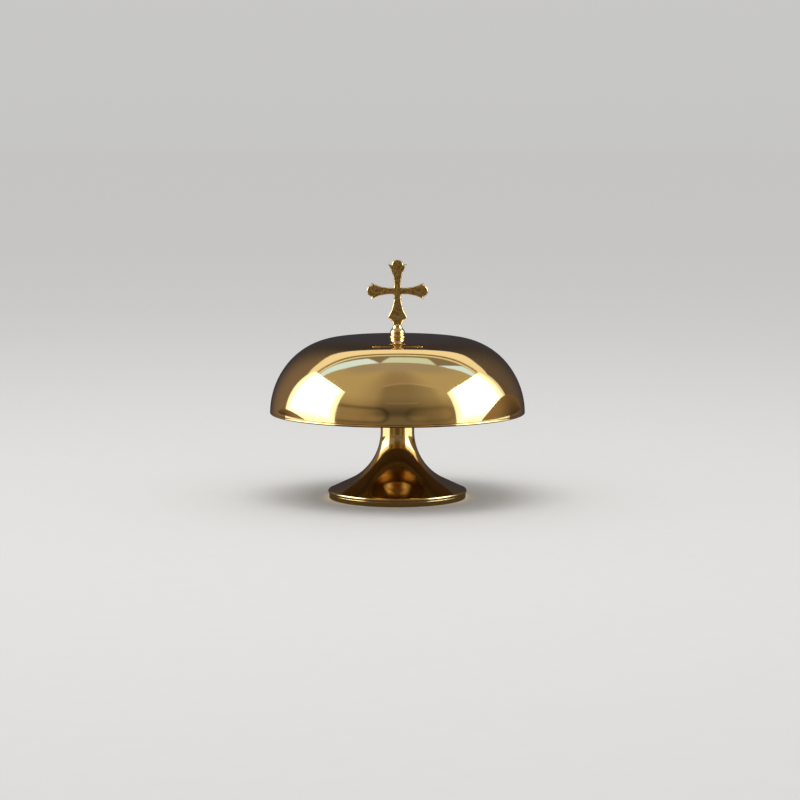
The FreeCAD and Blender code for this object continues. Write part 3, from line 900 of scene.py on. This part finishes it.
def make_finial_cross():
    """A flat plate with a rounded bevel all round both faces, and a round tenon under its foot."""
    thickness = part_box("finial_cross")[1].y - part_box("finial_cross")[0].y
    foot_height = high("finial_knob")
    runs = [run for run, _ in walk(cross_outline(foot_height))]
    rim = []
    for run, inner in zip(runs, inset_runs(runs, CROSS_BEVEL)):
        for k in range(len(run) - 1):
            point, normal = run[k]
            rim.append((point, (point - inner[k]) / CROSS_BEVEL, normal, run[k + 1][1]))
    count = len(rim)
    leans = [math.pi / 2 * (1 - step / BEVEL_STEPS) for step in range(BEVEL_STEPS + 1)]
    profile = [
        (CROSS_BEVEL * (1 - math.cos(lean)), -thickness / 2 + CROSS_BEVEL * (1 - math.sin(lean)), lean)
        for lean in leans
    ]
    profile += [(inset, -depth, -lean) for inset, depth, lean in reversed(profile)]
    shell = Shell()
    for inset, depth, _ in profile:
        shell.points.extend((p.x - m.x * inset, depth, p.y - m.y * inset) for p, m, _, _ in rim)
    for level in range(len(profile) - 1):
        one, two = level * count, (level + 1) * count
        leans = (profile[level][2], profile[level + 1][2])
        for k, (_, _, start, end) in enumerate(rim):
            following = (k + 1) % count
            corners = ((start, leans[0]), (start, leans[1]), (end, leans[1]), (end, leans[0]))
            normals = [(n.x * math.cos(lean), -math.sin(lean), n.y * math.cos(lean)) for n, lean in corners]
            shell.add([one + k, two + k, two + following, one + following], normals)
    last = (len(profile) - 1) * count
    shell.add(list(range(count)), [(0.0, -1.0, 0.0)] * count)
    shell.add([last + k for k in reversed(range(count))], [(0.0, 1.0, 0.0)] * count)
    rings = [shell.circle(lambda _: TENON_RADIUS, height, PEG_SIDES)
             for height in (low("finial_cross"), foot_height + CROSS_BEVEL)]
    shell.band(*rings, (1.0, 0.0), (1.0, 0.0))
    shell.cap(rings[0], False)
    shell.cap(rings[1], True)
    return shell.build("finial_cross_cast")


def make_finial_washer():
    return washer("finial_washer_disc", "finial_washer", low_edge=0.3 * MM, high_edge=0.2 * MM)


def make_finial_nut():
    """A cap nut, closed end down: a hexagon with a dome turned on it."""
    cap_radius, cap_rise, overlap, across_flats = 3.3 * MM, 3.0 * MM, 0.3 * MM, 7.0 * MM
    top, bottom = high("finial_nut"), low("finial_nut")
    shoulder = bottom + cap_rise
    shell = Shell()
    add_hexagon(shell, across_flats, shoulder, top, STUD_HOLE)
    shell.turn([
        at(0.0, bottom, (cap_radius ** 2 + cap_rise ** 2) / (2 * cap_rise), 1),
        at(cap_radius, shoulder),
        at(cap_radius, shoulder + overlap),
        at(0.0, shoulder + overlap),
    ])
    return shell.build("finial_nut_cap")


def make_finial_stud():
    return threaded("finial_stud_threaded", *sizes("finial_stud"), pitch=0.7 * MM)


# ---------------------------------------------------------------- stage

def emitter(name, colour, strength):
    material = bpy.data.materials.new(name)
    material.use_nodes = True
    tree = material.node_tree
    tree.nodes.clear()
    glow = add(tree, "ShaderNodeEmission", {"Color": (*colour, 1.0), "Strength": strength})
    output = add(tree, "ShaderNodeOutputMaterial")
    tree.links.new(glow.outputs[0], output.inputs["Surface"])
    return material, tree, glow


GLOW_COLOURS = "glow"


def glow_by_vertex(name):
    """A glow coloured point by point, which lights nothing itself: it only shows in reflections."""
    material, tree, glow = emitter(name + "_glow", (1.0, 1.0, 1.0), 1.0)
    tint = add(tree, "ShaderNodeAttribute", attribute_name=GLOW_COLOURS)
    tree.links.new(tint.outputs["Color"], glow.inputs["Color"])
    material.cycles.emission_sampling = "NONE"
    return material


def staged(name, points, faces, material, camera=False, diffuse=False, glossy=True, colours=None):
    """A stage mesh that casts no shadow, and which kinds of rays see it."""
    mesh = bpy.data.meshes.new(name)
    mesh.from_pydata(points, [], faces)
    mesh.materials.append(material)
    if colours:
        attribute = mesh.color_attributes.new(GLOW_COLOURS, "FLOAT_COLOR", "POINT")
        attribute.data.foreach_set("color", [channel for colour in colours for channel in (*colour, 1.0)])
    item = link(name, mesh)
    item.visible_camera = camera
    item.visible_diffuse = diffuse
    item.visible_glossy = glossy
    item.visible_shadow = False
    return item


FLOOR_RADIUS = 14.0
NEAR_RADIUS = 0.095         # how far out the mirrored floor is a little lighter
MIRRORED_RADIUS = 0.28      # how far out it reaches
MIRRORED_HEIGHT = 0.1 * MM
UNDER_FOOT = 1.0 * MM       # how far it reaches in under the foot's ring
FLOOR_COLOUR = (0.80, 0.795, 0.785)
# Painted reflection: the floors only the metal sees are far darker than the floor itself, and lighter near
# the foot.
MIRRORED_COLOUR = (0.038, 0.027, 0.022)
NEAR_COLOUR = (0.18, 0.145, 0.095)
DISC_SIDES = 120


def circle_points(radius, height):
    angles = [FULL_TURN * k / DISC_SIDES for k in range(DISC_SIDES)]
    return [(radius * math.cos(a), radius * math.sin(a), height) for a in angles]


def between(one, two):
    """The points and faces of a band between two circles, each given by its radius and height."""
    return circle_points(*one) + circle_points(*two), woven(2, DISC_SIDES)


PAPER_SCALE = 60.0
PAPER_GRAIN = (0.985, 1.015)


def paper(name, colour):
    """Matt paper with a faint grain, clear from underneath."""
    material, tree, shader = new_material(name)
    place = add(tree, "ShaderNodeTexCoord").outputs["Object"]
    shade = remap(tree, noise(tree, place, PAPER_SCALE, detail=4.0), *PAPER_GRAIN)
    tint = add(tree, "ShaderNodeVectorMath", {0: colour, "Scale": shade}, operation="SCALE")
    tree.links.new(tint.outputs[0], shader.inputs["Base Color"])
    shader.inputs["Roughness"].default_value = 1.0
    shader.inputs["Specular IOR Level"].default_value = 0.0
    under = add(tree, "ShaderNodeNewGeometry").outputs["Backfacing"]
    clear = add(tree, "ShaderNodeBsdfTransparent")
    both = add(tree, "ShaderNodeMixShader", {0: under, 1: shader.outputs[0], 2: clear.outputs[0]})
    tree.links.new(both.outputs[0], tree.nodes["Material Output"].inputs["Surface"])
    return material


def make_floor():
    """A plain pale floor. The metal mirrors dimmer ones, which reach only a little way round the foot and are
    open under it."""
    points, faces = circle_points(FLOOR_RADIUS, 0.0), [list(range(DISC_SIDES))]
    white = paper("floor_paper", FLOOR_COLOUR)
    staged("floor", points, faces, white, camera=True, diffuse=True, glossy=False)
    inner = reach("foot_ring") - UNDER_FOOT
    # painted reflection: darker floors that only the metal mirrors
    for name, outer, colour in (
        ("near", NEAR_RADIUS, NEAR_COLOUR),
        ("mirrored", MIRRORED_RADIUS, MIRRORED_COLOUR),
    ):
        ring = between((inner, MIRRORED_HEIGHT), (outer, MIRRORED_HEIGHT))
        staged("floor_" + name, *ring, paper("floor_paper_" + name, colour))
        inner = outer


BACKDROP_RADIUS = 13.6
BACKDROP_HEIGHT = 9.0
BACKDROP_LOW = (0.565, 0.562, 0.555)
BACKDROP_HIGH = (0.70, 0.6965, 0.6895)      # the sky's own tone, so that no edge shows where it ends


def make_backdrop():
    """What the camera sees beyond the floor: as pale as the floor where they meet."""
    material, tree, glow = emitter("backdrop_glow", BACKDROP_LOW, 1.0)
    place = add(tree, "ShaderNodeTexCoord").outputs["Object"]
    height = add(tree, "ShaderNodeSeparateXYZ", {0: place}).outputs[2]
    share = remap(tree, height, 0.0, 1.0, 0.0, BACKDROP_HEIGHT)
    tint = mix(tree, share, (*BACKDROP_LOW, 1.0), (*BACKDROP_HIGH, 1.0))
    tree.links.new(tint, glow.inputs["Color"])
    material.cycles.emission_sampling = "NONE"
    wall = between((BACKDROP_RADIUS, 0.0), (BACKDROP_RADIUS, BACKDROP_HEIGHT))
    staged("backdrop", *wall, material, camera=True, glossy=False)


SOFTBOX_DISTANCE = 0.95
SOFTBOX_LOW = -0.15
SOFTBOX_HIGH = 0.92
SOFTBOX_WIDTH = 1.12
SOFTBOX_STRENGTH = 4.2
SOFTBOX_COLOUR = (0.96, 1.06, 1.0)
SOFTBOX_EDGE = 1.25     # its strength at the sides and bottom, where the gold shows yellow instead of white
SIDE_FADE = (0.30, 0.50)    # how far from the middle it starts and stops fading, as a share of its width
LOW_FADE = (0.12, 0.36)     # where it brightens above its lower edge, as a share of its height
FADE_POWER = 2.0


def around(azimuth, distance):
    """A place at a distance from the axis, at an azimuth in radians. 0 is the camera's side."""
    return distance * math.sin(azimuth), -distance * math.cos(azimuth)


def make_softbox(name, azimuth, turn):
    """A tall lit panel beside the vessel, brightest in its middle. It lights only what the metal mirrors."""
    material, tree, glow = emitter(name, SOFTBOX_COLOUR, SOFTBOX_STRENGTH)
    place = add(tree, "ShaderNodeTexCoord").outputs["Generated"]
    split = add(tree, "ShaderNodeSeparateXYZ", {0: place})
    away = combine(tree, "ABSOLUTE", combine(tree, "SUBTRACT", split.outputs[0], 0.5))
    side = remap(tree, away, 1.0, 0.0, *SIDE_FADE)
    bottom = remap(tree, split.outputs[2], 0.0, 1.0, *LOW_FADE)
    soft = combine(tree, "POWER", combine(tree, "MINIMUM", side, bottom), FADE_POWER)
    tree.links.new(remap(tree, soft, SOFTBOX_EDGE, SOFTBOX_STRENGTH), glow.inputs["Strength"])
    half = SOFTBOX_WIDTH / 2
    corners = ((-half, SOFTBOX_LOW), (half, SOFTBOX_LOW), (half, SOFTBOX_HIGH), (-half, SOFTBOX_HIGH))
    panel = staged(name, [(x, 0, z) for x, z in corners], [[0, 1, 2, 3]], material)
    angle = math.radians(azimuth)
    panel.location = (*around(angle, SOFTBOX_DISTANCE), 0.0)
    panel.rotation_euler = (0, 0, angle + math.radians(turn))


MOUND_LIT = (0.27, 0.185, 0.09)
MOUND_DARK = (0.055, 0.04, 0.025)
MOUND_DISTANCE = 0.90
MOUND_LOW = 0.02
MOUND_STEPS = 30
MOUND_ROUNDING = 0.8    # under 1 makes its ends steeper
MOUND_SHADE = (0.15, 0.75)      # where along it the lit side turns dark


def make_mound(name, start, end, rise):
    """A low rounded shape in front of a softbox, as the metal mirrors it: lit in front and dark behind."""
    points, colours = [], []
    peak = low("bowl_rim") + MOUND_DISTANCE * math.tan(math.radians(rise))
    for k in range(MOUND_STEPS + 1):
        share = k / MOUND_STEPS
        place = around(math.radians(start + (end - start) * share), MOUND_DISTANCE)
        height = (peak - MOUND_LOW) * math.sin(math.pi * share) ** MOUND_ROUNDING
        points.append((*place, MOUND_LOW))
        points.append((*place, MOUND_LOW + height))
        tone = blend(MOUND_LIT, MOUND_DARK, smooth(share, *MOUND_SHADE))
        colours.append(tone)
        colours.append(blend(tone, MOUND_LIT, 0.5))
    faces = [[2 * k, 2 * k + 2, 2 * k + 3, 2 * k + 1] for k in range(MOUND_STEPS)]
    staged(name, points, faces, glow_by_vertex(name), colours=colours)


def smooth(value, start, end):
    t = min(1.0, max(0.0, (value - start) / (end - start)))
    return t * t * (3 - 2 * t)


def blend(one, two, share):
    return tuple(a + (b - a) * share for a, b in zip(one, two))


ROOM_RADIUS = 6.0
ROOM_STEP = 0.6         # degrees between the dome's points
BELOW_MIDDLE = (0.088, 0.056, 0.023)
BELOW_SIDE = (0.21, 0.15, 0.065)
ROOM_MIDDLE = (0.115, 0.097, 0.068)
ROOM_SIDE = (0.29, 0.225, 0.135)
UPPER_MIDDLE = (0.30, 0.245, 0.165)
UPPER_SIDE = (0.45, 0.39, 0.25)
CEILING = (0.36, 0.32, 0.28)
CEILING_SHADE = (0.23, 0.205, 0.17)
CURTAIN = (0.044, 0.040, 0.048)
CURTAIN_LEFT = (0.20, 0.155, 0.12)
CURTAIN_RIGHT = (0.12, 0.095, 0.085)
TOP_LIGHT = (0.93, 0.90, 0.74)
WINDOW = (0.70, 1.05, 1.60)
WINDOW_MIDDLE = (0.62, 0.82, 0.90)
STREAK = (0.20, 0.14, 0.06)

# The room's outlines. Azimuths and elevations are in degrees, and azimuth 0 is the camera's side. A pair is
# where a change starts and where it ends.
ROOM_TURN = (4, 42)
UPPER_TURN = (8, 50)
UPPER_RISE = (14, 40)
CEILING_RISE = 20
CEILING_START = 66
CEILING_DROP = 18           # how much lower the ceiling starts at the sides
CEILING_TURN = (30, 100)
RAIL = 57.5                 # a bright rail, bowed down either side of its middle
RAIL_MIDDLE = 8
RAIL_BOW = 0.0075
RAIL_WIDTH, LOW_RAIL_WIDTH = 1.2, 1.0
RAIL_GLOW = 0.30
RAIL_SPAN = ((-24, -12), (36, 50))
RAIL_STEP = (-0.24, 0.22)   # how much dimmer it is below the rail, and how much of that is back above it
STEP_FADE = (58, 72)
LOW_RAIL = 28.5
LOW_RAIL_SPAN = ((-14, -8), (16, 24))
FRONT_GLOW = 0.6            # the brightest part, low in the middle
FRONT_RISE = (6, 14)
FRONT_TURN = (12, 32)
SHELVES = (                 # dark outlines: centre, half width, half height, corner, line width, darkness
    ((-36, 11), 27, 10, 9, 2.4, 0.45),
    ((30, 11), 22, 9, 9, 3.0, 0.25),
)
LOWER_TURN = (6, 26)
LEGS = ((-38, 6, 0.5), (36, 4, 0.6))    # dark legs below: azimuth, width, darkness
LOWER_RISE = (-65, -25)
HORIZON = (-5, 0)

# The ceiling is a flat picture one unit up, measured across and back from over the vessel. A side is the
# cosine of how far round from straight behind something reaches.
LINE_BACK, LINE_BOW, LINE_WIDTH = 0.47, 0.07, 0.03      # a thin line of light
STRIP_BACK, STRIP_BOW, STRIP_FADE = 0.55, 0.09, 0.06    # a strip light behind it
BOW_ACROSS = (0.2, 0.8)
PANES_END = (0.345, 0.365)
PANE_EDGE = 0.012
LEFT_PANE_END = (-0.17, 0.14, -0.3)     # a pane's side: across, back, and its lean across as it goes back
MIDDLE_PANE_START = (-0.15, 0.12, 0.4)
MIDDLE_PANE_END = (0.375, 0.12, -0.6)
RIGHT_PANE_START = (0.40, 0.114, 1.2)
REAR_BACK, REAR_SIDE = 0.12, 0.208      # where the room's rear starts overhead and at the sides
REAR_RISE = (40, 42)
CURTAIN_TURN = (170, 128)   # from straight behind towards the sides
CURTAIN_BACK, CURTAIN_SIDE, CURTAIN_BOW = 0.93, 0.5, 0.17
CURTAIN_ACROSS = (0.4, 0.9)
CURTAIN_EDGE, REAR_EDGE = 0.015, 0.01   # half the width over which each turns into what it meets


def ridge(value, centre, width):
    """1 at the centre, falling off softly either side."""
    return math.exp(-((value - centre) / width) ** 2)


def within(value, start, end):
    """1 between two changes, each given as a pair."""
    return smooth(value, *start) * (1 - smooth(value, *end))


def outline(azimuth, elevation, centre, half_width, half_height, corner, width, darkness):
    """How dark a rounded box's outline is at a place."""
    across = abs(azimuth - centre[0]) - half_width + corner
    above = abs(elevation - centre[1]) - half_height + corner
    distance = math.hypot(max(across, 0.0), max(above, 0.0)) + min(max(across, above), 0.0) - corner
    return darkness * ridge(distance, 0.0, width)


def dimmed(colour, share):
    return tuple(channel * share for channel in colour)


def right_of(side, across, back):
    start, level, lean = side
    return smooth(across - start - lean * (back - level), -PANE_EDGE, PANE_EDGE)


def ceiling_colour(across, back):
    """Three window panes, then a thin line of light, then a strip light, all parallel to the curtain."""
    outer = smooth(abs(across), *BOW_ACROSS)
    line = LINE_BACK - LINE_BOW * outer
    strip = STRIP_BACK - STRIP_BOW * outer
    tone = blend(CEILING_SHADE, STREAK, smooth(back, line, line + LINE_WIDTH))
    tone = blend(tone, TOP_LIGHT, ridge(back, line, LINE_WIDTH))
    tone = blend(tone, TOP_LIGHT, smooth(back, strip, strip + STRIP_FADE))
    left = 1 - right_of(LEFT_PANE_END, across, back)
    middle = right_of(MIDDLE_PANE_START, across, back) * (1 - right_of(MIDDLE_PANE_END, across, back))
    right = right_of(RIGHT_PANE_START, across, back)
    lit = 1 - smooth(back, *PANES_END)
    tone = blend(tone, WINDOW, lit * max(left, right))
    return blend(tone, WINDOW_MIDDLE, lit * middle)


def front_sheen(azimuth, elevation):
    """How much brighter or dimmer than plain the front is: two rails and a glow low in the middle."""
    rail = elevation - RAIL + RAIL_BOW * (azimuth - RAIL_MIDDLE) ** 2
    beside = within(azimuth, *RAIL_SPAN)
    step = RAIL_STEP[0] + RAIL_STEP[1] * smooth(rail, -1.0, 1.0)
    sheen = beside * (RAIL_GLOW * ridge(rail, 0.0, RAIL_WIDTH) + step * (1 - smooth(elevation, *STEP_FADE)))
    low_rail = ridge(elevation, LOW_RAIL, LOW_RAIL_WIDTH) * within(azimuth, *LOW_RAIL_SPAN)
    glow = (1 - smooth(elevation, *FRONT_RISE)) * (1 - smooth(abs(azimuth), *FRONT_TURN))
    return sheen + RAIL_GLOW * low_rail + FRONT_GLOW * glow


def front_colour(azimuth, elevation):
    """A dim warm room, its ceiling, and what lies below eye level."""
    behind = abs(azimuth)
    front = blend(ROOM_MIDDLE, ROOM_SIDE, smooth(behind, *ROOM_TURN))
    upper = blend(UPPER_MIDDLE, UPPER_SIDE, smooth(behind, *UPPER_TURN))
    front = blend(front, upper, smooth(elevation, *UPPER_RISE))
    start = CEILING_START - CEILING_DROP * smooth(behind, *CEILING_TURN)
    front = blend(front, CEILING, smooth(elevation, start, start + CEILING_RISE))
    edges = sum(outline(azimuth, elevation, *shelf) for shelf in SHELVES)
    front = dimmed(front, (1 + front_sheen(azimuth, elevation)) * (1 - edges))
    lower = blend(BELOW_MIDDLE, BELOW_SIDE, smooth(behind, *LOWER_TURN))
    lower = dimmed(lower, 1 - sum(darkness * ridge(azimuth, leg, width) for leg, width, darkness in LEGS))
    lower = blend(UPPER_MIDDLE, lower, smooth(elevation, *LOWER_RISE))
    return blend(lower, front, smooth(elevation, *HORIZON))


def room_colour(azimuth, elevation):
    """What the polished metal mirrors beyond the lamps: the room in front, a dark curtain behind, a strip
    light over the curtain's top edge and cool windows above that."""
    azimuth = (azimuth + 180) % 360 - 180
    reached = 1 / math.tan(math.radians(max(elevation, 1.0)))
    across = reached * math.sin(math.radians(azimuth))
    back = -reached * math.cos(math.radians(azimuth))
    curtain_side = CURTAIN_LEFT if azimuth < 0 else CURTAIN_RIGHT
    curtain = blend(CURTAIN, curtain_side, smooth(abs(azimuth), *CURTAIN_TURN))
    rear = blend(TOP_LIGHT, ceiling_colour(across, back), smooth(elevation, *REAR_RISE))
    curtain_edge = CURTAIN_BACK - CURTAIN_BOW * smooth(abs(across), *CURTAIN_ACROSS)
    curtain_edge = max(curtain_edge, CURTAIN_SIDE * reached)
    rear = blend(rear, curtain, smooth(back - curtain_edge, -CURTAIN_EDGE, CURTAIN_EDGE))
    rear_edge = max(REAR_BACK, REAR_SIDE * reached)
    return blend(front_colour(azimuth, elevation), rear, smooth(back - rear_edge, -REAR_EDGE, REAR_EDGE))


def make_room():
    """The surroundings as a dome that only mirror reflections see."""
    columns = round(360 / ROOM_STEP)
    rows = round(180 / ROOM_STEP)
    points, colours = [], []
    for row in range(rows + 1):
        elevation = row * ROOM_STEP - 90
        rise = math.radians(elevation)
        for column in range(columns):
            azimuth = column * ROOM_STEP
            place = around(math.radians(azimuth), ROOM_RADIUS * math.cos(rise))
            points.append((*place, ROOM_RADIUS * math.sin(rise)))
            colours.append(room_colour(azimuth, elevation))
    staged("room", points, woven(rows + 1, columns), glow_by_vertex("room"), colours=colours)


SKY_COLOUR = (1.0, 0.995, 0.985)
SKY_STRENGTH = 0.70
LAMP_PLACE = (-0.2, -0.25, 1.7)
LAMP_SIZE = (1.4, 1.0)
LAMP_POWER = 9.0
# In degrees: a softbox's azimuth and its turn away from the vessel, and a mound's two ends and its rise.
SOFTBOXES = (("softbox_left", -84, -6), ("softbox_right", 80, 8))
MOUNDS = (("mound_left", -86, -132, 2), ("mound_right", 76, 142, 13))


def make_light():
    world = bpy.data.worlds.new("studio")
    world.use_nodes = True
    bpy.context.scene.world = world
    sky = world.node_tree.nodes["Background"]
    sky.inputs["Color"].default_value = (*SKY_COLOUR, 1.0)
    sky.inputs["Strength"].default_value = SKY_STRENGTH
    for softbox in SOFTBOXES:
        make_softbox(*softbox)
    for mound in MOUNDS:
        make_mound(*mound)
    data = bpy.data.lights.new("overhead", "AREA")
    data.shape = "RECTANGLE"
    data.size, data.size_y = LAMP_SIZE
    data.energy = LAMP_POWER
    lamp = bpy.data.objects.new("overhead", data)
    lamp.location = LAMP_PLACE
    lamp.visible_camera = False
    lamp.visible_glossy = False
    bpy.context.scene.collection.objects.link(lamp)


# ---------------------------------------------------------------- the vessel

# Each piece: what makes it, the CAD node it stands for, its body, its slot and its metals, outer one first.
PIECES = (
    (make_foot, "foot", "stand", "polished_gold", "spun", "satin"),
    (make_foot_ring, "foot_ring", "stand", "polished_gold", "mirror", "satin"),
    (make_stem_collar, "stem_collar", "stand", "turned_brass", "brass"),
    # the bowl's outer metal carries painted shade towards the axis
    (make_bowl, "bowl", "stand", "satin_gold", "painted_shade", "satin"),
    (make_bowl_rim, "bowl_rim", "stand", "polished_gold", "mirror"),
    (make_bowl_boss, "bowl_boss", "stand", "turned_brass", "brass"),
    (make_tie_rod, "tie_rod", "stand", "zinc_steel", "zinc"),
    (make_clamp_washer, "clamp_washer", "stand", "zinc_steel", "zinc"),
    (make_lock_washer, "lock_washer", "stand", "zinc_steel", "zinc"),
    (make_hex_nut, "hex_nut", "stand", "zinc_steel", "zinc"),
    (make_lid, "lid", "cover", "polished_gold", "mirror", "satin"),
    (make_lid_bezel, "lid_bezel", "cover", "turned_brass", "satin"),
    (make_finial_collar, "finial_collar", "cover", "polished_gold", "small"),
    (make_finial_knob, "finial_knob", "cover", "polished_gold", "small"),
    (make_finial_cross, "finial_cross", "cover", "polished_gold", "cast"),
    (make_finial_stud, "finial_stud", "cover", "zinc_steel", "zinc"),
    (make_finial_washer, "finial_washer", "cover", "turned_brass", "brass"),
    (make_finial_nut, "finial_nut", "cover", "turned_brass", "brass"),
)


def place_piece(metals, maker, node, body, slot, *finishes):
    piece = maker()
    for finish in finishes:
        piece.data.materials.append(metals[finish])
    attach(piece, body)
    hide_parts(node)


make_camera()
all_metals = make_materials()
for row in PIECES:
    place_piece(all_metals, *row)
make_floor()
make_backdrop()
make_room()
make_light()

bpy.context.scene.view_settings.view_transform = "Standard"
